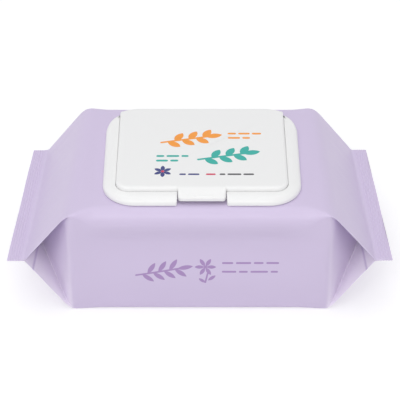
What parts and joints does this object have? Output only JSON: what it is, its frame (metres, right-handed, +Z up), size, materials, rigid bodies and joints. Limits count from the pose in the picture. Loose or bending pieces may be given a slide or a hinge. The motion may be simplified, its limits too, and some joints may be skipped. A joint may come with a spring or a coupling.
{
  "type": "wet wipes pack",
  "caption": "Soft lavender film pack of wet wipes with tucked-in ends and crimped end seals, and a glued-on white plastic cap whose hinged cover lifts over a peel-off seal.",
  "frame": {"origin": "middle of the underside, on the surface that the pack lies on", "axes": "+X along the pack towards its right end seal seen from the front, +Y from the front face to the back face and the hinge, +Z up through the cap"},
  "size_m": [0.241, 0.12, 0.0872],
  "materials": {
    "film": "satin lavender flow-wrap film with soft highlights",
    "peel": "thin smooth self-adhesive film, pale lavender",
    "cap": "smooth semi-gloss white moulded polypropylene"
  },
  "bodies": {
    "pack": {"film_pack": "film", "peel_seal": "peel", "cap_base": "cap"},
    "cover": {"cap_cover": "cap"}
  },
  "joints": [
    {"name": "cover_hinge", "type": "hinge", "parent": "pack", "child": "cover", "pos_m": [0.0013, 0.0473, 0.0845], "axis": [-1, 0, 0], "range_deg": [0, 160]}
  ]
}
